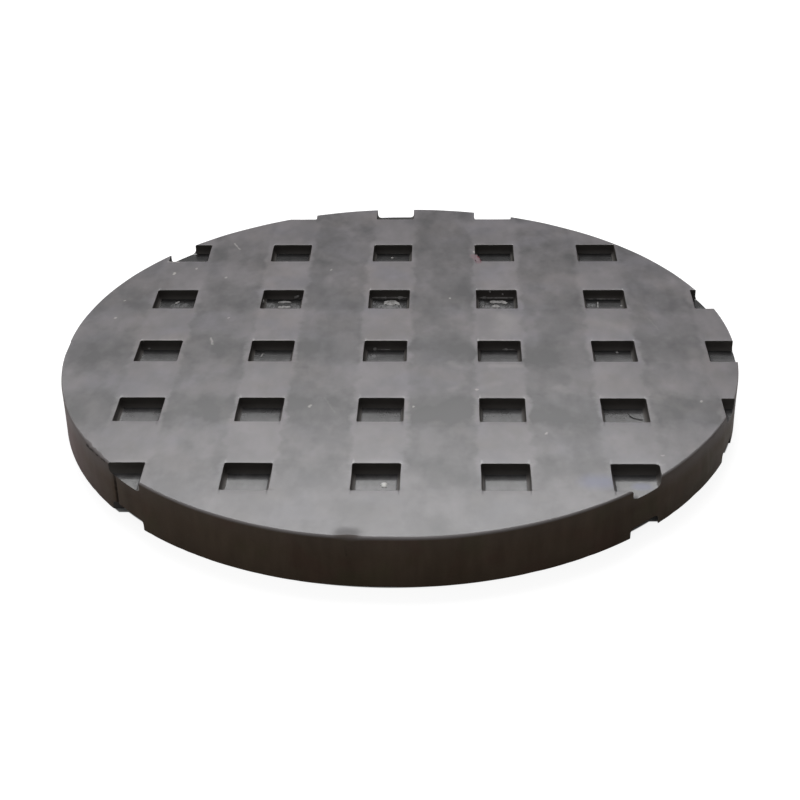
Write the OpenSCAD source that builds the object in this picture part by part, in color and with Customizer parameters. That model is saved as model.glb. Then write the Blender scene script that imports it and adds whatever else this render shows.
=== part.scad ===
// Round anti-vibration pad, cut from a moulded rubber sheet.
// Both faces of the sheet carry the same grid of square pockets, one directly
// under the other, with a solid web between them. The grid runs off the edge,
// so the round cut opens the outer pockets into notches.
// The origin is the centre of the bottom face, and +Z points out of the top face.

/* [Disc] */
// Diameter of the round cut
disc_d = 200; // [120:1:260]
// Thickness of the rubber sheet
thickness = 15; // [12:0.5:30]

/* [Pocket grid] */
// Distance from one pocket to the next, the same along X and Y
pitch = 34; // [26:0.5:50]
// X of the grid's middle pocket, measured from the middle of the disc
grid_x = -4.1; // [-13:0.1:13]
// Y of the grid's middle pocket, measured from the middle of the disc
grid_y = -4.1; // [-13:0.1:13]

/* [Pocket] */
// Width of the square mouth
pocket_w = 12.7; // [8:0.1:18]
// Depth of the pocket below the face
pocket_depth = 3; // [1.5:0.1:4.5]
// Radius between the pocket's walls and its floor
floor_fillet = 1.2; // [0.3:0.1:1.4]

/* [Hidden] */

// How far the pocket cutters stand out of the face
clear = 1;
disc_fn = 180;
fillet_fn = 32;
disc_r = disc_d / 2;

// Rows to each side of the middle pocket that still reach the round cut
grid_reach = ceil((disc_r + max(abs(grid_x), abs(grid_y))) / pitch);
row_length = 2 * (disc_r + pitch);

// Centre of the fillet's arc, from the middle of the pocket and from the face
fillet_x = pocket_w / 2 - floor_fillet;
fillet_z = floor_fillet - pocket_depth;

// Section across one pocket: X runs across it, Y is the height above the face.
module pocket_section() {
    // Mouth and upright walls
    translate([-pocket_w / 2, fillet_z])
        square([pocket_w, clear - fillet_z]);
    // Rounded feet of the walls
    for (side = [-1, 1])
        translate([side * fillet_x, fillet_z])
            circle(r = floor_fillet, $fn = fillet_fn);
    // Flat floor between them
    translate([-fillet_x, -pocket_depth])
        square([2 * fillet_x, floor_fillet]);
}

// Straight channels of that section along Y, one for each column of pockets.
module channels(first_x) {
    for (i = [-grid_reach : grid_reach])
        translate([first_x + i * pitch, row_length / 2, 0])
            rotate([90, 0, 0])
                linear_extrude(row_length)
                    pocket_section();
}

// Where the channels along Y cross those along X there is a square pocket,
// and their rounded feet meet in a mitre at each corner of its floor.
module pocket_grid() {
    intersection() {
        channels(grid_x);
        mirror([1, -1, 0]) channels(grid_y);
    }
}

module pad() {
    color([0.42, 0.41, 0.4])
        difference() {
            cylinder(r = disc_r, h = thickness, $fn = disc_fn);
            translate([0, 0, thickness]) pocket_grid();
            mirror([0, 0, 1]) pocket_grid();
        }
}

pad();
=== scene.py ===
"""Looks of a round rubber anti-vibration pad, built round its CAD model.

Lengths are in metres in the CAD model's own frame: +Z up, with the origin at the centre of the
bottom face. A moulded sheet carries a grid of square pockets in both faces, and a round cut runs
across the sheet and opens the outer pockets into notches.
"""
import math

import bmesh
import bpy
from mathutils import Matrix, Vector, noise


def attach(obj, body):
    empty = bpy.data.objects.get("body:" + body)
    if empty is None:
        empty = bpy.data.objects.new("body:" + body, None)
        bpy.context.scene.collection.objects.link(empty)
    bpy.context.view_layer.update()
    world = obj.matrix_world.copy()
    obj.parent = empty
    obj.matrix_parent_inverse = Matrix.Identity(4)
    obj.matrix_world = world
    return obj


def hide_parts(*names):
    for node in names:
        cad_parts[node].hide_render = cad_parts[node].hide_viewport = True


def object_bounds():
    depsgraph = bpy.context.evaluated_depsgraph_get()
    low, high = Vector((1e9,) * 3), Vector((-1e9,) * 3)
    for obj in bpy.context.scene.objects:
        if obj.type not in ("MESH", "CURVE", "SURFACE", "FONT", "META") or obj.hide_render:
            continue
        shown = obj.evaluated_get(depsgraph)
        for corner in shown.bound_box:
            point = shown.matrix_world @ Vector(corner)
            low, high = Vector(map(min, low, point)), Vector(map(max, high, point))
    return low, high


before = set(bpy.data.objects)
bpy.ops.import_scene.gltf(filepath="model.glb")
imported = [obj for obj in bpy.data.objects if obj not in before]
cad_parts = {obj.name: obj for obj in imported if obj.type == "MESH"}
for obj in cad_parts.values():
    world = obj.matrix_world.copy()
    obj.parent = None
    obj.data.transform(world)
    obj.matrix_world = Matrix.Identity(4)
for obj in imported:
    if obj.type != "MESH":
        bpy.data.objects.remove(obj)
cad_low, cad_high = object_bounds()

MM = 0.001
DEGREE = math.pi / 180

# Driving sizes of the pad, as in the CAD source
DISC_R = (cad_high.x - cad_low.x) / 2
THICKNESS = cad_high.z
PITCH = 34 * MM
GRID_X = -4.1 * MM
GRID_Y = -4.1 * MM
POCKET_W = 12.7 * MM
POCKET_DEPTH = 3 * MM
FLOOR_FILLET = 1.2 * MM
FLOOR_Z = THICKNESS - POCKET_DEPTH
# Height of the face above a pocket's floor, in millimetres
TO_FACE = POCKET_DEPTH / MM
# Rows to each side of the middle pocket that still reach the round cut
GRID_REACH = math.ceil((DISC_R + max(abs(GRID_X), abs(GRID_Y))) / PITCH)

# Finer sizes of the moulded sheet that only the looks have
LIP = 0.18 * MM
WALL_LEAN = 0.04 * MM
CORNER_R = 0.5 * MM
WORN_CORNER_R = 1.2 * MM
WORN_POCKET = (2, -2)
SLAB_MARGIN = 3 * MM

# Steps of the meshes: the sheet, the cut side, the ridges of dirt and the hair
FLOOR_STEPS = 3
FILLET_STEPS = 4
LIP_STEPS = 3
UPPER_GAP_STEPS = 9
LOWER_GAP_STEPS = 5
CUT_ANGLES = 640
RIM_STEPS = 5
SIDE_STEPS = 12
RIDGE_RINGS = 14
RIDGE_SPAN = 5
HAIR_STEPS = 12

# Order of the pad's materials
MOULDED = 0
CUT = 1
WALL = 2

# Moulded faces whose normal has a smaller Z than this are walls
WALL_SLOPE = 0.86
# Edges that bend more than this are shaded sharp
SHARP_ANGLE = 38 * DEGREE

# Features of the cut side, as angles that run anticlockwise from +X, seen from above
KNIFE_START = -138.9 * DEGREE
KNIFE_JOG = -137.7 * DEGREE
WORN_RIM = -95.6 * DEGREE
TORN_RIM = -145.0 * DEGREE
BULGE = -23.0 * DEGREE

# Ends of a dark smudge beside the worn part of the upper rim
SMUDGE_START = Vector((-11.0 * MM, -97.6 * MM, THICKNESS))
SMUDGE_END = Vector((-9.4 * MM, -97.6 * MM, THICKNESS))

# Where the camera stood, how far it looks down, and how it is turned
CAMERA_PLACE = Vector((15.4, -415.0, 241.2)) * MM
CAMERA_DOWN = 30.61 * DEGREE
CAMERA_TURN = 2.14 * DEGREE
CAMERA_ROLL = -0.97 * DEGREE
LENS_MM = 70.8
SENSOR_MM = 36.0

# Soft key light behind the pad, the even light of the room, and the white floor
KEY_HEIGHT = 54.9 * DEGREE
KEY_DISTANCE = 1.3
KEY_WIDTH = 0.85
KEY_DEPTH = 0.77
KEY_POWER = 14.8
KEY_SHIFT = -0.07
HORIZON_LEVEL = 0.28
ZENITH_LEVEL = 0.35
ROOM_TILT = Vector((-0.18, -0.08, 0))
FLOOR_REACH = 3
FLOOR_LEVEL = 0.38
FLOOR_GLOW = 0.86


def smooth(low, high, x):
    """0 below low, 1 above high, and a smooth rise between them."""
    t = min(1.0, max(0.0, (x - low) / (high - low)))
    return t * t * (3 - 2 * t)


def hump(middle, half, x):
    """1 at the middle, falling smoothly to 0 at half a width to each side."""
    return 1 - smooth(0, half, abs(x - middle))


def ripple(x, y, z, size, seed):
    """Smooth noise from -1 to 1, whose bumps are about size across."""
    return noise.noise(Vector((x / size + seed, y / size - seed, z / size)))


def in_pocket(column, row, x, y, z=0):
    """A point given in millimetres from the middle of a pocket's floor, in the pad's frame."""
    return Vector((
        GRID_X + column * PITCH + x * MM,
        GRID_Y + row * PITCH + y * MM,
        FLOOR_Z + z * MM,
    ))


def on_face(x, y):
    """A point on the upper face, given in millimetres."""
    return Vector((x * MM, y * MM, THICKNESS))


def on_rim(angle):
    """X and Y on the disc's rim at an angle."""
    return DISC_R * math.cos(angle), DISC_R * math.sin(angle)


def on_side(degrees, height):
    """A point on the cut side, at a height given in millimetres."""
    return Vector((*on_rim(degrees * DEGREE), height * MM))


# Camera

def make_camera():
    data = bpy.data.cameras.new("camera")
    data.lens = LENS_MM
    data.sensor_width = SENSOR_MM
    data.clip_start = 0.01
    data.clip_end = 20
    camera = bpy.data.objects.new("camera", data)
    turned = Matrix.Rotation(CAMERA_TURN, 4, "Z")
    lowered = Matrix.Rotation(math.pi / 2 - CAMERA_DOWN, 4, "X")
    rolled = Matrix.Rotation(CAMERA_ROLL, 4, "Z")
    camera.matrix_world = Matrix.Translation(CAMERA_PLACE) @ turned @ lowered @ rolled
    bpy.context.scene.collection.objects.link(camera)
    bpy.context.scene.camera = camera


# The moulded sheet

def pocket_steps():
    """(distance from a pocket's middle, depth there), from the middle of its floor to the face."""
    half = POCKET_W / 2
    foot = half - FLOOR_FILLET
    steps = [(foot * k / FLOOR_STEPS, POCKET_DEPTH) for k in range(FLOOR_STEPS)]
    for k in range(FILLET_STEPS + 1):
        a = k / FILLET_STEPS * math.pi / 2
        depth = POCKET_DEPTH - FLOOR_FILLET * (1 - math.cos(a))
        steps.append((foot + FLOOR_FILLET * math.sin(a), depth))
    for k in range(LIP_STEPS + 1):
        a = k / LIP_STEPS * math.pi / 2
        steps.append((half + WALL_LEAN + LIP * (1 - math.cos(a)), LIP * (1 - math.sin(a))))
    return steps


def sheet_lines(middle, gap_steps):
    """Lines of a face's mesh along one axis, as (place, depth), close together at pocket edges."""
    steps = pocket_steps()
    reach = DISC_R + SLAB_MARGIN
    mouth = steps[-1][0]
    gap = PITCH - 2 * mouth
    # Places are rounded, so that one reached from two pockets gives a single line
    lines = {}
    for i in range(-GRID_REACH, GRID_REACH + 1):
        centre = middle + i * PITCH
        for distance, depth in steps:
            lines[round(centre - distance, 7)] = depth
            lines[round(centre + distance, 7)] = depth
        for k in range(1, gap_steps):
            lines[round(centre + mouth + gap * k / gap_steps, 7)] = 0.0
    inner = [(place, lines[place]) for place in sorted(lines) if abs(place) < reach]
    return [(-reach, inner[0][1])] + inner + [(reach, inner[-1][1])]


def face_relief(x, y, seed):
    """How far a moulded face lies below a true plane: a slow wave and a finer one."""
    slow = 0.5 + 0.5 * ripple(x, y, 0, 34 * MM, seed)
    fine = 0.5 + 0.5 * ripple(x, y, 0, 10 * MM, seed + 7)
    return (0.065 * slow + 0.018 * fine) * MM


def round_corner(x, y):
    """Draws a place near the corner of a pocket's mouth in, so that the corner is rounded."""
    column = round((x - GRID_X) / PITCH)
    row = round((y - GRID_Y) / PITCH)
    dx = x - GRID_X - column * PITCH
    dy = y - GRID_Y - row * PITCH
    worn = (column, row) == WORN_POCKET and dx > 0 and dy > 0
    radius = WORN_CORNER_R if worn else CORNER_R
    start = POCKET_W / 2 - radius
    u = abs(dx) - start
    v = abs(dy) - start
    if min(u, v) <= 0:
        return x, y
    reach = max(u, v)
    share = 1 - smooth(radius + LIP, radius + 2 * MM, reach)
    scale = 1 + share * (reach / math.hypot(u, v) - 1)
    dx = math.copysign(start + u * scale, dx)
    dy = math.copysign(start + v * scale, dy)
    return GRID_X + column * PITCH + dx, GRID_Y + row * PITCH + dy


def edge_wander(x, y, seed):
    """Sideways wander of the moulded lines, so that no pocket's edge is ruled straight."""
    inside = 1 - smooth(DISC_R + MM, DISC_R + SLAB_MARGIN, max(abs(x), abs(y)))
    return 0.08 * MM * inside * ripple(x, y, 0, 7 * MM, seed)


def make_face(mesh, level, inward, gap_steps, seed):
    """One moulded face of the sheet. Returns its border, one list of points for each side."""
    columns = sheet_lines(GRID_X, gap_steps)
    rows = sheet_lines(GRID_Y, gap_steps)
    grid = []
    for y, depth_y in rows:
        line = []
        for x, depth_x in columns:
            depth = min(depth_x, depth_y) + face_relief(x, y, seed)
            px, py = round_corner(x, y)
            px += edge_wander(x, y, seed + 20)
            py += edge_wander(x, y, seed + 40)
            line.append(mesh.verts.new((px, py, level + inward * depth)))
        grid.append(line)
    for near, far in zip(grid, grid[1:]):
        for n in range(len(columns) - 1):
            corners = (near[n], near[n + 1], far[n + 1], far[n])
            mesh.faces.new(corners if inward < 0 else reversed(corners))
    left = [line[0] for line in grid]
    right = [line[-1] for line in grid]
    return grid[0], right, grid[-1][::-1], left[::-1]


def make_sheet():
    """A square of the moulded sheet, a little larger than the disc."""
    mesh = bmesh.new()
    upper = make_face(mesh, THICKNESS, -1, UPPER_GAP_STEPS, seed=3.1)
    lower = make_face(mesh, 0.0, 1, LOWER_GAP_STEPS, seed=8.6)
    for above, below in zip(upper, lower):
        mesh.faces.new(below + above[::-1])
    return finish_mesh(mesh, "rubber_pad")


def finish_mesh(mesh, name):
    """Turns a bmesh into an object in the scene."""
    data = bpy.data.meshes.new(name)
    mesh.to_mesh(data)
    mesh.free()
    made = bpy.data.objects.new(name, data)
    bpy.context.scene.collection.objects.link(made)
    return made


def finish_smooth(mesh, name, material):
    """Turns a bmesh into a smooth object of one material."""
    made = finish_mesh(mesh, name)
    made.data.shade_smooth()
    made.data.materials.append(material)
    return made


# The round cut

def cut_relief(angle, z):
    """How far the cut side lies inside the true cylinder at an angle and a height."""
    x, y = on_rim(angle)
    slow = 0.5 + 0.5 * ripple(x, y, z * 0.5, 38 * MM, 1.7)
    middle = 0.5 + 0.5 * ripple(x, y, z, 11 * MM, 5.3)
    fine = 0.5 + 0.5 * ripple(x, y, z * 0.3, 2.6 * MM, 9.1)
    waist = max(0, 1 - (2 * z / THICKNESS - 1) ** 2)
    # The knife came round inside its own start, and jogged there
    past_start = (angle - KNIFE_START) % (2 * math.pi) * DISC_R
    step = 0.22 * (1 - smooth(0, 14 * MM, past_start)) * smooth(0, 2.5 * MM, past_start)
    height = smooth(1.0 * MM, 3 * MM, z) * (1 - smooth(10.5 * MM, 12 * MM, z))
    groove = 0.35 * hump(KNIFE_JOG, 0.45 * DEGREE, angle) * height
    # The cut runs just inside the next row of pockets here
    clear = 0.3 * hump(GRID_X / DISC_R - math.pi / 2, 12 * DEGREE, angle)
    # The disc bulges a little between its axes, and most on the right
    bulge = 0.32 * abs(math.sin(2 * angle)) ** 0.7 + 0.38 * hump(BULGE, 14 * DEGREE, angle)
    relief = 0.01 + 0.05 * slow + 0.04 * middle + 0.02 * fine + 0.06 * waist
    return (relief + step + groove + clear - bulge) * MM


def lower_rim(angle):
    """Radius of the lower rim, which is slightly ragged."""
    x, y = on_rim(angle)
    return (0.10 + 0.25 * max(0, ripple(x, y, 0, 3 * MM, 4.4))) * MM


def upper_rim(angle):
    """Radius of the rounded upper rim of the cut side at an angle."""
    x, y = on_rim(angle)
    uneven = 0.5 + 0.5 * ripple(x, y, 0, 9 * MM, 2.4)
    front = 0.6 * hump(-math.pi / 2, 110 * DEGREE, angle)
    worn = 0.55 * hump(WORN_RIM, 2.6 * DEGREE, angle)
    torn = 0.7 * hump(TORN_RIM, 7 * DEGREE, angle) * (0.7 + 1.2 * ripple(x, y, 0, 1.8 * MM, 6.2))
    return (0.22 + 0.25 * uneven + front + worn + max(0, torn)) * MM


def knife_angles():
    """Angles of the cut's mesh, from -180 to 180 degrees, closer together at its small features."""
    angles = {(2 * n / CUT_ANGLES - 1) * math.pi for n in range(CUT_ANGLES)}
    for middle, half, steps in ((KNIFE_START, 0.4, 10), (KNIFE_JOG, 0.5, 10), (TORN_RIM, 7, 28)):
        angles |= {middle + half * DEGREE * k / steps for k in range(-steps, steps + 1)}
    return sorted(angles)


def knife_profile(angle):
    """(radius, height) points up the cut side, from below the sheet to above it."""
    rim = upper_rim(angle)
    foot = lower_rim(angle)
    points = []
    for k in range(RIM_STEPS + 1):
        a = (k / RIM_STEPS - 1) * math.pi / 2
        z = foot * (1 + math.sin(a))
        points.append((DISC_R - cut_relief(angle, z) - foot * (1 - math.cos(a)), z))
    for k in range(1, SIDE_STEPS):
        z = foot + (THICKNESS - foot - rim) * k / SIDE_STEPS
        points.append((DISC_R - cut_relief(angle, z), z))
    for k in range(RIM_STEPS + 1):
        a = k / RIM_STEPS * math.pi / 2
        z = THICKNESS - rim * (1 - math.sin(a))
        points.append((DISC_R - cut_relief(angle, z) - rim * (1 - math.cos(a)), z))
    return [(points[0][0], -MM)] + points + [(points[-1][0], THICKNESS + MM)]


def make_cutter():
    """The solid inside the knife's path, taller than the sheet."""
    mesh = bmesh.new()
    columns = []
    for angle in knife_angles():
        points = [(r * math.cos(angle), r * math.sin(angle), z) for r, z in knife_profile(angle)]
        columns.append([mesh.verts.new(point) for point in points])
    for left, right in zip(columns, columns[1:] + columns[:1]):
        for k in range(len(left) - 1):
            mesh.faces.new((left[k], right[k], right[k + 1], left[k + 1]))
    mesh.faces.new([column[0] for column in reversed(columns)])
    mesh.faces.new([column[-1] for column in columns])
    return finish_mesh(mesh, "knife_path")


def apply_modifiers(piece):
    """Makes a piece's evaluated mesh its own."""
    depsgraph = bpy.context.evaluated_depsgraph_get()
    result = bpy.data.meshes.new_from_object(piece.evaluated_get(depsgraph))
    piece.modifiers.clear()
    piece.data = result


def cut_round(sheet, cutter):
    """Keeps the part of the sheet inside the cutter, whose material the new side takes."""
    modifier = sheet.modifiers.new("round_cut", "BOOLEAN")
    modifier.operation = "INTERSECT"
    modifier.solver = "MANIFOLD"
    modifier.material_mode = "TRANSFER"
    modifier.object = cutter
    apply_modifiers(sheet)
    bpy.data.objects.remove(cutter)


def shade_pad(pad):
    """Shades the pad smooth, but crisp round the cut, so that its faces look flat up to there."""
    pad.data.shade_smooth()
    pad.data.set_sharp_from_angle(angle=SHARP_ANGLE)
    sides = {}
    for face in pad.data.polygons:
        for key in face.edge_keys:
            sides.setdefault(key, set()).add(face.material_index == CUT)
    for edge in pad.data.edges:
        if len(sides[edge.key]) > 1:
            edge.use_edge_sharp = True
    modifier = pad.modifiers.new("flat_stays_flat", "WEIGHTED_NORMAL")
    modifier.keep_sharp = True
    apply_modifiers(pad)


def make_pad(moulded, cut, walls):
    """The disc: the moulded sheet inside the knife's path, with its materials."""
    pad = make_sheet()
    cutter = make_cutter()
    pad.data.materials.append(moulded)
    cutter.data.materials.append(cut)
    cut_round(pad, cutter)
    pad.data.materials.append(walls)
    for face in pad.data.polygons:
        if face.material_index == MOULDED and abs(face.normal.z) < WALL_SLOPE:
            face.material_index = WALL
    shade_pad(pad)
    return pad


# Dirt in the pockets

def add_ridge(mesh, path, outward, width, height, seed):
    """A low uneven ridge of dirt along a line of points on a surface that faces outward."""
    for k in range(RIDGE_RINGS + 1):
        t = k / RIDGE_RINGS * (len(path) - 1)
        n = min(int(t), len(path) - 2)
        along = (path[n + 1] - path[n]).normalized()
        middle = path[n].lerp(path[n + 1], t - n)
        swell = 0.15 + math.sin(math.pi * k / RIDGE_RINGS) ** 0.4
        swell *= 1 + 0.6 * ripple(middle.x, middle.y, middle.z, 0.8 * MM, seed)
        side = outward.cross(along) * width / 2 * swell
        sunk = -0.15 * MM * outward
        ring = [middle - side + sunk]
        for m in range(RIDGE_SPAN + 1):
            a = math.pi * m / RIDGE_SPAN
            ring.append(middle - side * math.cos(a) + outward * height * swell * math.sin(a))
        ring.append(middle + side + sunk)
        ring = [mesh.verts.new(point) for point in ring]
        if k == 0:
            mesh.faces.new(ring[::-1])
        else:
            for m in range(len(ring)):
                mesh.faces.new((last[m], last[m - 1], ring[m - 1], ring[m]))
        last = ring
    mesh.faces.new(last)


def make_dirt(material):
    """Pale crumbs and streaks in some of the pockets, placed as the photograph shows them."""
    # Directions that a pocket's floor, back wall and left wall face, and the back wall's foot
    floor = Vector((0, 0, 1))
    back = Vector((0, -1, 0))
    left = Vector((1, 0, 0))
    foot = (floor + back).normalized()
    # Pocket as (column, row), the surface, points from the middle of the floor, width, height
    bits = (
        ((-1, 1), floor, ((-1.8, 3.5, 0), (0.2, 3.7, 0), (2.4, 3.5, 0)), 1.3, 0.15),
        ((-1, 1), floor, ((-1.6, 0.1, 0), (2.6, 0.1, 0)), 1.5, 0.10),
        ((-1, 1), foot, ((3.2, 5.95, 0.33), (4.9, 6.2, 0.95)), 0.8, 0.25),
        ((-1, 1), left, ((-6.25, 2.6, 1.30), (-6.25, 0.9, 1.1)), 0.9, 0.25),
        ((-2, 1), floor, ((-0.7, 2.5, 0), (0.4, 4.1, 0)), 0.8, 0.10),
        ((0, 1), foot, ((-5.8, 6.0, 0.40), (5.6, 6.0, 0.40)), 0.45, 0.12),
        ((0, 1), foot, ((2.5, 6.0, 0.42), (4.4, 6.0, 0.42)), 0.8, 0.20),
        ((0, 1), foot, ((-1.8, 6.0, 0.42), (-1.1, 6.0, 0.42)), 0.6, 0.15),
        ((0, 1), floor,
         ((-1.7, 2.2, 0), (-0.8, 3.9, 0), (1.1, 4.2, 0), (2.3, 3.0, 0), (3.1, 1.5, 0)), 1.5, 0.12),
        ((0, 1), floor, ((-1.0, 2.5, 0), (1.9, 2.6, 0)), 2.2, 0.08),
        ((1, 1), foot, ((-5.7, 6.0, 0.34), (5.6, 6.0, 0.36)), 0.40, 0.10),
        ((1, 1), foot, ((-4.5, 6.0, 0.38), (-3.2, 6.0, 0.38)), 0.8, 0.20),
        ((1, 1), floor, ((-2.1, 3.6, 0), (-1.1, 3.9, 0), (2.1, 3.8, 0), (3.1, 2.6, 0)), 1.9, 0.15),
        ((1, 1), floor, ((-1.5, 0.5, 0), (-0.2, 0.8, 0), (1.0, 0.5, 0)), 1.7, 0.12),
        ((1, 1), floor, ((-4.4, 0.3, 0), (-3.9, 0.4, 0)), 1.0, 0.10),
        ((1, 1), back, ((-2.2, 6.28, 2.1), (-1.8, 6.28, 2.5)), 0.7, 0.15),
        ((1, 1), back, ((1.9, 6.28, 1.3), (2.3, 6.28, 1.6)), 0.6, 0.12),
        ((2, 1), floor, ((-5.5, 5.65, 0.12), (0.5, 5.65, 0.12), (5.6, 5.65, 0.12)), 0.45, 0.12),
        ((2, 1), floor, ((-1.7, 3.9, 0), (-2.0, -0.4, 0)), 0.35, 0.06),
        ((2, 1), floor, ((5.2, 0.9, 0.05), (5.8, 1.1, 0.2)), 0.8, 0.08),
        ((-1, 0), floor, ((-3.6, 1.3, 0), (-3.2, 3.2, 0), (-2.6, 3.6, 0)), 0.3, 0.08),
        ((-2, 0), foot, ((-4.5, 6.0, 0.36), (-3.7, 6.0, 0.40)), 0.6, 0.08),
        ((2, 0), floor, ((1.1, 4.4, 0), (1.8, 4.6, 0)), 0.9, 0.15),
        ((0, 0), foot, ((-3.9, 5.85, 0.28), (-2.9, 5.85, 0.28)), 1.1, 0.35),
        ((0, 0), foot, ((-2.8, 5.85, 0.26), (1.4, 5.8, 0.2)), 0.22, 0.06),
        ((1, 0), foot, ((1.1, 5.85, 0.25), (2.8, 5.85, 0.25)), 0.5, 0.12),
        ((1, 0), foot, ((2.6, 5.85, 0.25), (5.0, 5.8, 0.2)), 0.2, 0.05),
        ((0, 2), floor, ((-0.4, 1.9, 0), (-0.1, 2.8, 0)), 0.9, 0.15),
        ((0, -2), floor, ((2.2, -0.7, 0), (2.0, 1.5, 0)), 1.5, 0.3),
    )
    mesh = bmesh.new()
    for n, ((column, row), outward, points, width, height) in enumerate(bits):
        path = [in_pocket(column, row, *point) for point in points]
        add_ridge(mesh, path, outward, width * MM, height * MM, seed=1.7 * n)
    return finish_smooth(mesh, "pocket_dirt", material)


def make_flake(material):
    """A flake of pink rubber stuck in the left corner of a pocket in the back row."""
    # Direction it faces, points from the middle of the pocket's floor, width and height
    leaves = (
        ((0, 0, 1), ((-6.7, -0.8, 2.80), (-6.1, -3.6, 2.84), (-5.2, -6.4, 2.86)), 1.5, 0.05),
        ((1, 0, 1), ((-5.6, 0.4, 1.6), (-5.1, -2.6, 1.8), (-4.6, -5.8, 2.0)), 1.5, 0.25),
    )
    mesh = bmesh.new()
    for outward, points, width, height in leaves:
        path = [in_pocket(1, 2, *point) for point in points]
        add_ridge(mesh, path, Vector(outward).normalized(), width * MM, height * MM, seed=0.4)
    return finish_smooth(mesh, "pink_flake", material)


def make_hair(material):
    """A thin dark hair that lies in an arc on the floor of one pocket."""
    curve = bpy.data.curves.new("stray_hair", "CURVE")
    curve.dimensions = "3D"
    curve.bevel_depth = 0.11 * MM
    curve.bevel_resolution = 1
    spline = curve.splines.new("POLY")
    spline.points.add(HAIR_STEPS)
    start = in_pocket(2, -1, 1.2, 3.4, 0.12)
    end = in_pocket(2, -1, 5.2, -0.6, 0.12)
    bow = Vector((-0.8, -0.8, 0)) * MM
    for k, point in enumerate(spline.points):
        t = k / HAIR_STEPS
        place = start.lerp(end, t) + bow * math.sin(math.pi * t)
        point.co = (*place, 1)
    hair = bpy.data.objects.new("stray_hair", curve)
    bpy.context.scene.collection.objects.link(hair)
    curve.materials.append(material)
    return hair


# Materials

class Nodes:
    """A tree of nodes. Each method adds one node or a few, and returns an output socket."""

    def __init__(self, tree):
        self.tree = tree

    def node(self, kind, **settings):
        """Adds a node, and returns the node itself."""
        made = self.tree.nodes.new(kind)
        for name, value in settings.items():
            setattr(made, name, value)
        return made

    def feed(self, socket, value):
        """Links a socket to an output, or sets it to a plain value."""
        if isinstance(value, bpy.types.NodeSocket):
            self.tree.links.new(value, socket)
        else:
            socket.default_value = value

    def math(self, operation, a, b=0.0, c=0.0):
        made = self.node("ShaderNodeMath", operation=operation)
        for socket, value in zip(made.inputs, (a, b, c)):
            self.feed(socket, value)
        return made.outputs[0]

    def mix(self, factor, a, b):
        """A number between a and b."""
        return self.math("MULTIPLY_ADD", factor, self.math("SUBTRACT", b, a), a)

    def vector(self, operation, a, b=(0, 0, 0), output="Vector"):
        made = self.node("ShaderNodeVectorMath", operation=operation)
        self.feed(made.inputs[0], a)
        self.feed(made.inputs["Scale" if operation == "SCALE" else 1], b)
        return made.outputs[output]

    def split(self, vector):
        """The X, Y and Z of a vector."""
        made = self.node("ShaderNodeSeparateXYZ")
        self.feed(made.inputs[0], vector)
        return made.outputs


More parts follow.
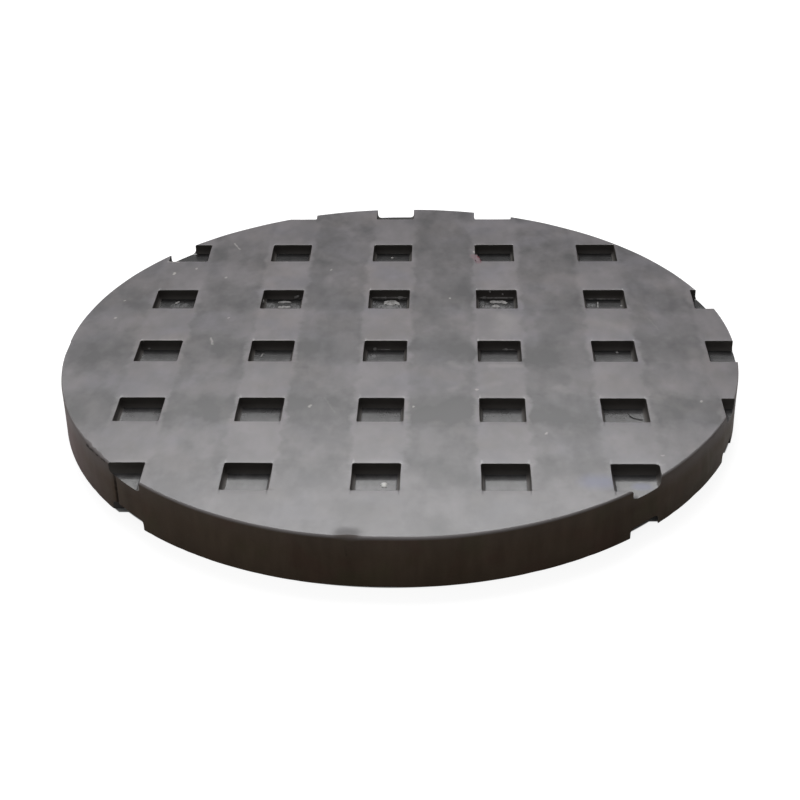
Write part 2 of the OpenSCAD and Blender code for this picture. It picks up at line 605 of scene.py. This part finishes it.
class Shader(Nodes):
    """The nodes of a material."""

    def __init__(self, name):
        self.material = bpy.data.materials.new(name)
        self.material.use_nodes = True
        super().__init__(self.material.node_tree)
        self.place = self.node("ShaderNodeTexCoord").outputs["Object"]

    def finish(self, inputs):
        """Feeds the inputs of the surface, given by name, and returns the material."""
        surface = self.tree.nodes["Principled BSDF"]
        for name, value in inputs.items():
            self.feed(surface.inputs[name], value)
        return self.material

    def rise(self, value, low, high, start=0.0, end=1.0):
        """start below low, end above high, and a smooth change between them."""
        made = self.node("ShaderNodeMapRange", interpolation_type="SMOOTHSTEP")
        levels = {"Value": value, "From Min": low, "From Max": high, "To Min": start, "To Max": end}
        for name, number in levels.items():
            self.feed(made.inputs[name], number)
        return made.outputs[0]

    def cloud(self, size, detail=3.0, roughness=0.5, scale=(1, 1, 1), offset=0.0):
        """Noise from 0 to 1 whose patches are about size across."""
        stretched = self.node("ShaderNodeMapping")
        self.feed(stretched.inputs["Vector"], self.place)
        stretched.inputs["Scale"].default_value = scale
        made = self.node("ShaderNodeTexNoise", noise_dimensions="4D")
        self.feed(made.inputs["Vector"], stretched.outputs[0])
        made.inputs["W"].default_value = offset
        made.inputs["Scale"].default_value = 1 / size
        made.inputs["Detail"].default_value = detail
        made.inputs["Roughness"].default_value = roughness
        return made.outputs["Fac"]

    def swing(self, value, amount):
        """Turns noise from 0 to 1 into noise about 0."""
        return self.math("MULTIPLY_ADD", value, amount, -amount / 2)

    def blend(self, factor, a, b, mode="MIX"):
        made = self.node("ShaderNodeMix", data_type="RGBA", blend_type=mode)
        self.feed(made.inputs["Factor"], factor)
        self.feed(made.inputs["A"], a)
        self.feed(made.inputs["B"], b)
        return made.outputs["Result"]

    def mark(self, place, start, end, half, soft, amount):
        """amount on a straight stroke between two points, and 0 beyond its soft edge."""
        line = end - start
        gap = self.vector("SUBTRACT", place, start)
        share = self.vector("DOT_PRODUCT", gap, line, "Value")
        share = self.math("MULTIPLY", share, 1 / line.length_squared)
        share = self.math("MINIMUM", self.math("MAXIMUM", share, 0.0), 1.0)
        gap = self.vector("SUBTRACT", gap, self.vector("SCALE", line, share))
        distance = self.vector("LENGTH", gap, output="Value")
        return self.rise(distance, half, half + soft, amount, 0.0)

    def marks(self, strokes):
        """The strongest of some uneven strokes, each as (start, end, half width, soft, amount)."""
        wobble = self.node("ShaderNodeTexNoise")
        self.feed(wobble.inputs["Vector"], self.place)
        wobble.inputs["Scale"].default_value = 1 / (1.5 * MM)
        shift = self.vector("SUBTRACT", wobble.outputs["Color"], (0.5, 0.5, 0.5))
        place = self.vector("ADD", self.place, self.vector("SCALE", shift, MM))
        strongest = 0.0
        for stroke in strokes:
            strongest = self.math("MAXIMUM", self.mark(place, *stroke), strongest)
        return strongest

    def bump(self, height, distance):
        made = self.node("ShaderNodeBump")
        made.inputs["Distance"].default_value = distance
        self.feed(made.inputs["Height"], height)
        return made.outputs[0]

    def facing_up(self):
        """1 where the surface faces up, 0 where it stands upright, and -1 where it faces down."""
        return self.split(self.node("ShaderNodeNewGeometry").outputs["Normal"])[2]

    def from_pocket(self):
        """The place along X and Y from the nearest pocket's middle, in pitches."""
        x, y, _ = self.split(self.place)
        column = self.math("MULTIPLY_ADD", x, 1 / PITCH, -GRID_X / PITCH)
        row = self.math("MULTIPLY_ADD", y, 1 / PITCH, -GRID_Y / PITCH)
        return self.math("WRAP", column, 0.5, -0.5), self.math("WRAP", row, 0.5, -0.5)


def srgb(r, g, b):
    """A colour given as on a screen, from 0 to 255, as a linear one."""
    def linear(v):
        v /= 255
        return v / 12.92 if v <= 0.04045 else ((v + 0.055) / 1.055) ** 2.4
    return (linear(r), linear(g), linear(b), 1.0)


def face_stroke(start, end, half, soft, amount):
    """A stroke for Shader.marks on the upper face, from places and widths in millimetres."""
    return (on_face(*start), on_face(*end), half * MM, soft * MM, amount)


def face_marks():
    """Pale specks, scuffs, scratches and a painted highlight on the upper face, as Shader.marks
    strokes.
    """
    # Start, end and half width in millimetres, and strength
    specks = (
        ((41.5, -50.7), (41.7, -50.1), 0.10, 0.50), ((71.6, -61.5), (71.8, -61.5), 0.10, 0.35),
        ((-24.2, -36.6), (-24.0, -35.8), 0.12, 0.55), ((5.0, -36.6), (5.1, -36.2), 0.12, 0.60),
        ((22.8, -27.1), (22.9, -26.9), 0.25, 0.60), ((85.6, -33.4), (85.8, -33.2), 0.10, 0.50),
        ((15.2, 30.2), (15.3, 30.8), 0.10, 0.50), ((-24.0, 50.7), (-23.9, 51.3), 0.10, 0.45),
        ((-53.7, 17.0), (-53.5, 17.2), 0.10, 0.50), ((-57.4, 4.0), (-56.4, 0.0), 0.05, 0.40),
        ((-75.4, 47.8), (-75.3, 48.8), 0.20, 0.60), ((-68.6, 51.6), (-68.6, 52.4), 0.15, 0.45),
        ((-58.0, 45.2), (-57.9, 45.6), 0.12, 0.45), ((-58.3, 71.5), (-56.0, 67.0), 0.05, 0.40),
        ((-88.2, 28.6), (-88.0, 28.8), 0.15, 0.45), ((-89.0, 16.8), (-88.9, 17.2), 0.15, 0.50),
        ((-20.3, -31.5), (-16.9, -39.8), 0.05, 0.06), ((76.0, 17.0), (78.6, 9.5), 0.05, 0.06),
        ((23.1, 64.9), (23.3, 64.3), 0.20, 0.60), ((-78.6, 57.2), (-75.2, 57.2), 0.15, 0.35),
        ((-39.2, 57.3), (-38.9, 57.3), 0.15, 0.35),
    )
    strokes = [face_stroke(start, end, half, 0.45, amount) for start, end, half, amount in specks]
    # A painted highlight: a pale line just behind the back lip of each pocket in the middle row
    for column in range(-2, 2):
        start = in_pocket(column, 0, -6.0, 6.75, TO_FACE)
        end = in_pocket(column, 0, 4.5, 6.75, TO_FACE)
        strokes.append((start, end, 0.10 * MM, 0.35 * MM, 0.22))
    # Faint broad smears: start, end and soft edge in millimetres, and strength
    smears = (
        ((32.0, 18.0), (32.0, 8.0), 6.0, 0.10), ((27.0, -13.2), (35.5, -13.2), 2.0, 0.12),
        ((24.0, -26.0), (29.5, -23.0), 2.5, 0.05), ((15.5, -11.5), (17.5, -13.5), 2.5, 0.12),
        ((15.5, -27.0), (19.5, -23.5), 2.0, 0.08), ((46.0, -25.5), (48.5, -28.5), 2.5, 0.10),
        ((-42.0, -20.0), (-34.0, -16.0), 5.0, 0.06), ((62.0, 14.0), (68.0, 8.0), 5.0, 0.07),
    )
    strokes += [face_stroke(start, end, 0.0, soft, amount) for start, end, soft, amount in smears]
    return strokes


def floor_dust():
    """Patches of pale dust on the pocket floors, as strokes for Shader.marks."""
    # Pocket as (column, row), start and end in millimetres from its middle, half width, strength
    patches = (
        ((-1, 1), (-5.0, 2.4), (-3.0, 1.0), 0.6, 0.16),
        ((-1, 1), (3.2, 1.4), (4.8, 0.2), 0.6, 0.14),
        ((0, 1), (-2.6, 0.8), (3.0, 0.6), 0.6, 0.25),
        ((0, 1), (-5.2, 3.6), (-3.6, 1.6), 0.8, 0.12),
        ((1, 1), (-4.8, 3.6), (-4.2, 2.6), 0.7, 0.20),
        ((1, 1), (-3.2, 0.4), (4.0, 0.2), 0.5, 0.22),
        ((2, 1), (-4.8, 1.4), (-3.8, 1.4), 0.6, 0.20),
        ((0, 0), (-4.2, 1.6), (-2.8, 3.1), 0.5, 0.10),
        ((-2, 1), (-1.0, 1.2), (2.8, 1.4), 0.6, 0.15),
    )
    strokes = []
    for (column, row), start, end, half, amount in patches:
        ends = [in_pocket(column, row, *place) for place in (start, end)]
        strokes.append((*ends, half * MM, 1.2 * MM, amount))
    return strokes


def blotches(s):
    """Blotches of many sizes, as noise about 0."""
    largest = s.rise(s.cloud(11 * MM, 3, 0.6, (1, 0.8, 1), offset=9.0), 0.40, 0.60)
    total = s.swing(largest, 0.27)
    # Size in millimetres, strength, and scale along Y, below 1 where they are longer that way
    scales = ((30, 0.42, 1.0), (8, 0.76, 0.6), (3.6, 0.62, 0.5), (1.3, 0.08, 0.5), (14, 0.40, 0.8))
    for n, (size, amount, along) in enumerate(scales):
        patch = s.cloud(size * MM, 3, 0.48, (1, along, 1), offset=1.0 + n)
        total = s.math("ADD", total, s.swing(patch, amount))
    return total


def bloom_tone(s, across, along):
    """Tone of the grey bloom on the faces, which is paler along the columns of pockets."""
    ragged_across = s.math("ADD", across, s.swing(s.cloud(8 * MM, 3, 0.6), 0.22))
    ragged_along = s.math("ADD", along, s.swing(s.cloud(10 * MM, 3, 0.6, offset=4.0), 0.5))
    in_column = s.rise(ragged_across, 0.19, 0.25, 1.0, 0.0)
    in_row = s.rise(ragged_along, 0.10, 0.36, 1.0, 0.0)
    # The pattern fades towards the rim, most of all in front, and the dark patches also
    # towards the back
    x, y, _ = s.split(s.place)
    fade = s.rise(s.vector("LENGTH", s.place, output="Value"), 62 * MM, 92 * MM, 1.0, 0.35)
    fade = s.math("MULTIPLY", fade, s.rise(y, -84 * MM, -66 * MM, 0.1, 1.0))
    to_back = s.rise(y, -45 * MM, 60 * MM, 1.0, 0.3)
    dark_share = s.math("MULTIPLY", s.rise(y, -85 * MM, -50 * MM), to_back)
    tone = s.math("MULTIPLY_ADD", s.math("MULTIPLY", in_column, fade), 0.34, 0.32)
    beside_pocket = s.math("MULTIPLY", in_row, s.math("SUBTRACT", 1.0, in_column))
    tone = s.math("MULTIPLY_ADD", s.math("MULTIPLY", beside_pocket, dark_share), -0.42, tone)
    # The bloom is thinner by the front rim, and thicker by the right one
    tone = s.math("ADD", tone, s.rise(y, -97 * MM, -76 * MM, -0.12, 0.0))
    tone = s.math("ADD", tone, s.rise(x, 60 * MM, 95 * MM, 0.0, 0.06))
    # It is blotchy, less so along the columns and by the front rim
    uneven = s.math("MULTIPLY", blotches(s), s.math("MULTIPLY_ADD", in_column, -0.35, 1.0))
    return s.math("MULTIPLY_ADD", uneven, s.rise(y, -92 * MM, -55 * MM, 0.7, 1.0), tone)


def face_bloom(s, across, along):
    """Colour and roughness of the faces: black rubber under a grey bloom, with small marks."""
    tone = bloom_tone(s, across, along)
    # The darkest patches lie a little below 0
    darkest = -0.12
    shade = s.math("DIVIDE", s.math("SUBTRACT", tone, darkest), 1 - darkest)
    colour = s.blend(shade, srgb(26, 23, 26), srgb(122, 117, 120))
    bluish = s.rise(s.cloud(17 * MM, 2, offset=6.0), 0.48, 0.66, 0.0, 0.6)
    colour = s.blend(bluish, colour, (0.88, 0.91, 1.0, 1), "MULTIPLY")
    warm = s.rise(s.cloud(13 * MM, 2, offset=7.0), 0.50, 0.68, 0.0, 0.6)
    colour = s.blend(warm, colour, (1.0, 0.96, 0.90, 1), "MULTIPLY")
    # Pale specks, scuffs and smears, and the painted highlight behind the middle row's lips
    colour = s.blend(s.marks(face_marks()), colour, srgb(188, 184, 178))
    # A dark, dull smudge beside the worn part of the rim
    smudge = s.marks([(SMUDGE_START, SMUDGE_END, 0.7 * MM, 3.6 * MM, 0.55)])
    colour = s.blend(smudge, colour, srgb(58, 55, 55))
    # A trace of the pink flake beside its pocket
    trace_start = in_pocket(1, 2, -7.1, -2.0, TO_FACE)
    trace_end = in_pocket(1, 2, -5.3, -7.2, TO_FACE)
    trace = s.marks([(trace_start, trace_end, 0.6 * MM, 0.8 * MM, 0.8)])
    colour = s.blend(trace, colour, srgb(104, 76, 83))
    rough = s.math("MULTIPLY_ADD", tone, -0.05, 0.325)
    return colour, s.math("MULTIPLY_ADD", smudge, 0.45, rough)


def pocket_floor(s, row):
    """Colour and roughness of the pockets' bare floors, with painted shade and light, and pale dust
    on some.
    """
    tone = s.cloud(3.6 * MM, 4, 0.65, (1, 0.6, 1), offset=11.0)
    colour = s.blend(s.rise(tone, 0.3, 0.7), srgb(54, 53, 54), srgb(71, 70, 71))
    # Painted shade behind a floor's middle, most of all in the back rows, and painted light in
    # front
    painted_shade = s.rise(s.split(s.place)[1], -60 * MM, 42 * MM, 1.0, 0.25)
    painted_light_share = s.rise(row, -0.04, 0.03, 1.0, 0.0)
    colour = s.vector("SCALE", colour, s.mix(painted_light_share, painted_shade, 1.35))
    streaks = s.rise(s.cloud(1.1 * MM, 3, 0.6, (1, 0.35, 1), offset=12.0), 0.30, 0.65)
    dust = s.math("MULTIPLY", s.marks(floor_dust()), streaks)
    colour = s.blend(dust, colour, srgb(134, 134, 136))
    rough = s.math("MULTIPLY_ADD", tone, 0.06, 0.20)
    return colour, s.math("MULTIPLY_ADD", dust, 0.5, rough)


def moulded_rubber():
    """The moulded faces with their bloom, and the bare floors and lips of the pockets."""
    s = Shader("moulded_rubber")
    column, row = s.from_pocket()
    across = s.math("ABSOLUTE", column)
    along = s.math("ABSOLUTE", row)
    face_colour, face_rough = face_bloom(s, across, along)
    floor_colour, floor_rough = pocket_floor(s, row)
    half = POCKET_W / 2 / PITCH
    reach = s.math("MAXIMUM", across, along)
    inside = s.rise(reach, half - 0.002, half + 0.002, 1.0, 0.0)
    colour = s.blend(inside, face_colour, floor_colour)
    # Bluish stains, on the face at the right front and on the floor of the pocket beside it
    stains = (
        (on_face(52.2, -74.2), on_face(55.2, -74.2), 0.3 * MM, 5.2 * MM, 0.75),
        (in_pocket(2, -2, 0.5, 0.2), in_pocket(2, -2, 2.5, 0.2), 0.3 * MM, 2.4 * MM, 0.70),
    )
    colour = s.blend(s.marks(stains), colour, srgb(72, 76, 106))
    # Where a lip turns down into its pocket, it is as dark and dull as the walls
    upright = s.rise(s.math("ABSOLUTE", s.facing_up()), 0.88, 0.99, 1.0, 0.0)
    rough = s.mix(inside, face_rough, floor_rough)
    return s.finish({
        "Base Color": s.blend(upright, colour, srgb(60, 57, 55)),
        "Roughness": s.math("MAXIMUM", rough, s.math("MULTIPLY", upright, 0.65)),
        "Specular IOR Level": 0.75,
        "Normal": s.bump(s.cloud(0.7 * MM, 3, 0.6), 0.003 * MM),
    })


def wall_rubber():
    """The pockets' upright walls: bare rubber, dull and nearly black, with painted light in front.
    """
    s = Shader("wall_rubber")
    tone = s.cloud(2.5 * MM, 3, 0.6, offset=1.0)
    colour = s.blend(tone, srgb(50, 47, 44), srgb(68, 65, 62))
    _, y, z = s.split(s.place)
    foot = s.rise(z, FLOOR_Z, FLOOR_Z + 2.2 * MM, 0.4, 0.0)
    colour = s.blend(foot, colour, srgb(88, 85, 83))
    # Painted light: the side walls are paler towards the front, most of all in the front rows
    front = s.rise(s.from_pocket()[1], 0.02, 0.13, 1.0, 0.0)
    front = s.math("MULTIPLY", front, s.rise(y, -76 * MM, -10 * MM, 0.8, 0.08))
    return s.finish({
        "Base Color": s.blend(front, colour, srgb(112, 109, 107)),
        "Roughness": 0.7,
        "Specular IOR Level": 0.12,
        "Normal": s.bump(s.cloud(0.8 * MM, 3, 0.6), 0.01 * MM),
    })


def cut_rubber():
    """The cut side: bare brown-black rubber, drawn smooth by the knife."""
    s = Shader("cut_rubber")
    patch = s.swing(s.cloud(15 * MM, 3, 0.5, (1, 1, 0.7), offset=2.0), 0.9)
    streak = s.swing(s.cloud(3.5 * MM, 3, 0.6, (1, 1, 0.25), offset=3.0), 0.9)
    tone = s.math("ADD", s.math("ADD", patch, streak), 0.5)
    colour = s.blend(tone, srgb(62, 52, 43), srgb(86, 74, 63))
    olive = s.rise(s.cloud(12 * MM, 2, offset=5.0), 0.50, 0.66, 0.0, 0.8)
    colour = s.blend(olive, colour, (0.88, 0.97, 0.86, 1), "MULTIPLY")
    reddish = s.rise(s.cloud(10 * MM, 2, offset=8.0), 0.52, 0.68, 0.0, 0.8)
    colour = s.blend(reddish, colour, (1.0, 0.90, 0.93, 1), "MULTIPLY")
    # The left end is paler and a little pink
    x, _, z = s.split(s.place)
    colour = s.blend(s.rise(x, -98 * MM, -72 * MM, 0.6, 0.0), colour, srgb(122, 101, 102))
    # The side is paler towards the top, and most of all at the left and right
    sideways = s.rise(s.math("ABSOLUTE", x), 55 * MM, 92 * MM, 0.08, 0.65)
    paler_top_share = s.math("MULTIPLY", s.rise(z, 8 * MM, THICKNESS), sideways)
    colour = s.blend(paler_top_share, colour, srgb(116, 110, 109))
    # Pale streaks left by the knife
    pale = (
        (on_side(-31.8, 11), on_side(-30.8, 4), 0.3 * MM, 1.2 * MM, 0.30),
        (on_side(-24.5, 12), on_side(-23.8, 5), 0.4 * MM, 1.6 * MM, 0.35),
        (on_side(-151.8, 9.5), on_side(-151.0, 7), 0.4 * MM, 2.2 * MM, 0.25),
    )
    colour = s.blend(s.marks(pale), colour, srgb(96, 86, 78))
    # Dark lines: painted shade along the torn rim (two) and in the knife's jog, and one below the
    # worn rim
    jog = KNIFE_JOG / DEGREE
    dark = (
        (on_side(-146.6, 13.7), on_side(-143.6, 14.0), 0.15 * MM, 0.5 * MM, 0.85),
        (on_side(-143.6, 13.9), on_side(-140.2, 14.3), 0.10 * MM, 0.4 * MM, 0.75),
        (on_side(jog, 11.6), on_side(jog, 1.0), 0.20 * MM, 0.7 * MM, 0.80),
        (on_side(-96.1, 12.0), on_side(-96.0, 8.8), 0.10 * MM, 0.4 * MM, 0.25),
    )
    colour = s.blend(s.marks(dark), colour, srgb(18, 15, 13))
    # The bloom covers the rounded rim, except beside the smudge
    over_rim = s.rise(s.facing_up(), 0.05, 0.90)
    smudge = s.marks([(SMUDGE_START, SMUDGE_END, 1.0 * MM, 3.0 * MM, 0.6)])
    over_rim = s.math("MULTIPLY", over_rim, s.math("SUBTRACT", 1.0, smudge))
    return s.finish({
        "Base Color": s.blend(over_rim, colour, srgb(128, 124, 124)),
        "Roughness": s.math("MULTIPLY_ADD", s.cloud(4 * MM, 3, offset=7.0), 0.2, 0.45),
        "Specular IOR Level": 0.03,
        "Normal": s.bump(s.cloud(1.2 * MM, 3, 0.6, (1, 1, 4)), 0.03 * MM),
    })


def pale_dirt():
    """Dried dirt and crumbs of release powder."""
    s = Shader("pale_dirt")
    tone = s.rise(s.cloud(1.2 * MM, 3, 0.6), 0.35, 0.65)
    colour = s.blend(tone, srgb(98, 96, 95), srgb(144, 142, 141))
    # The crumb in the front row is nearly white
    whiter = s.rise(s.split(s.place)[1], -64 * MM, -56 * MM, 1.0, 0.0)
    return s.finish({
        "Base Color": s.blend(whiter, colour, srgb(208, 207, 204)),
        "Roughness": 0.7,
        "Normal": s.bump(s.cloud(0.3 * MM), 0.03 * MM),
    })


def pink_rubber():
    """The flake, a dusty pink on top and dark red inside the pocket."""
    s = Shader("pink_rubber")
    tone = s.cloud(1.5 * MM, 3, 0.6, offset=3.0)
    inner = s.blend(tone, srgb(104, 46, 58), srgb(128, 64, 76))
    outer = s.blend(tone, srgb(92, 68, 74), srgb(114, 92, 98))
    on_top = s.rise(s.split(s.place)[2], 14.3 * MM, 14.7 * MM)
    return s.finish({"Base Color": s.blend(on_top, inner, outer), "Roughness": 0.6})


def dark_hair():
    """The stray hair, near black with a brown cast."""
    s = Shader("dark_hair")
    tone = s.cloud(0.6 * MM, offset=2.0)
    colour = s.blend(tone, srgb(26, 22, 19), srgb(48, 42, 38))
    return s.finish({"Base Color": colour, "Roughness": 0.45})


# Stage

def floor_paint():
    """A pale floor that shows as white to the camera and still takes the pad's shadow."""
    s = Shader("floor_paint")
    path = s.node("ShaderNodeLightPath").outputs
    seen = s.math("MAXIMUM", path["Is Camera Ray"], path["Is Glossy Ray"])
    seen = s.math("MAXIMUM", seen, path["Is Transmission Ray"])
    # The floor stays dark under the pad, and in its lower notches in the back wall's shadow,
    # which reaches further out on the right
    radius = s.vector("LENGTH", s.place, output="Value")
    x = s.split(s.place)[0]
    shadow_edge = s.rise(x, -40 * MM, 40 * MM, 4.8 * MM / PITCH, 1.5 * MM / PITCH)
    past_edge = s.math("SUBTRACT", s.from_pocket()[1], shadow_edge)
    lit = s.rise(past_edge, -0.2 * MM / PITCH, 0.2 * MM / PITCH, 1.0, 0.0)
    in_notch = s.math("MULTIPLY", s.rise(radius, DISC_R - 2.1 * MM, DISC_R - 1.7 * MM), lit)
    outside = s.rise(radius, DISC_R - 0.2 * MM, DISC_R + 0.2 * MM)
    glow = s.math("MULTIPLY", s.math("MAXIMUM", outside, in_notch), FLOOR_GLOW)
    return s.finish({
        "Base Color": (FLOOR_LEVEL, FLOOR_LEVEL, FLOOR_LEVEL, 1),
        "Roughness": 1.0,
        "Specular IOR Level": 0.0,
        "Emission Color": (1, 1, 1, 1),
        "Emission Strength": s.math("MULTIPLY", seen, glow),
    })


def make_floor():
    mesh = bmesh.new()
    bmesh.ops.create_grid(mesh, x_segments=1, y_segments=1, size=FLOOR_REACH)
    floor = finish_mesh(mesh, "floor")
    floor.data.materials.append(floor_paint())


def make_key():
    """A soft light above and behind the pad."""
    data = bpy.data.lights.new("key", "AREA")
    data.shape = "RECTANGLE"
    data.size = KEY_WIDTH
    data.size_y = KEY_DEPTH
    data.energy = KEY_POWER
    lamp = bpy.data.objects.new("key", data)
    lamp.location = KEY_DISTANCE * Vector((0, math.cos(KEY_HEIGHT), math.sin(KEY_HEIGHT)))
    lamp.location.x = KEY_SHIFT
    lamp.rotation_mode = "QUATERNION"
    lamp.rotation_quaternion = (-lamp.location).to_track_quat("-Z", "Y")
    bpy.context.scene.collection.objects.link(lamp)


def make_room():
    """A dim room, brighter on the left and in front, that the camera sees as white."""
    world = bpy.data.worlds.new("room")
    bpy.context.scene.world = world
    world.use_nodes = True
    w = Nodes(world.node_tree)
    aim = w.node("ShaderNodeTexCoord").outputs["Generated"]
    upward = w.math("MAXIMUM", w.split(aim)[2], 0.0)
    level = w.math("MULTIPLY_ADD", upward, ZENITH_LEVEL - HORIZON_LEVEL, HORIZON_LEVEL)
    level = w.math("ADD", level, w.vector("DOT_PRODUCT", aim, ROOM_TILT, "Value"))
    seen = w.node("ShaderNodeLightPath").outputs["Is Camera Ray"]
    background = world.node_tree.nodes["Background"]
    background.inputs["Color"].default_value = (1, 1, 1, 1)
    w.feed(background.inputs["Strength"], w.mix(seen, level, 1.0))


make_camera()
pad = make_pad(moulded_rubber(), cut_rubber(), wall_rubber())
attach(pad, "root")
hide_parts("pad")
for bit in (make_dirt(pale_dirt()), make_flake(pink_rubber()), make_hair(dark_hair())):
    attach(bit, "root")
make_floor()
make_key()
make_room()
bpy.context.scene.view_settings.view_transform = "Standard"
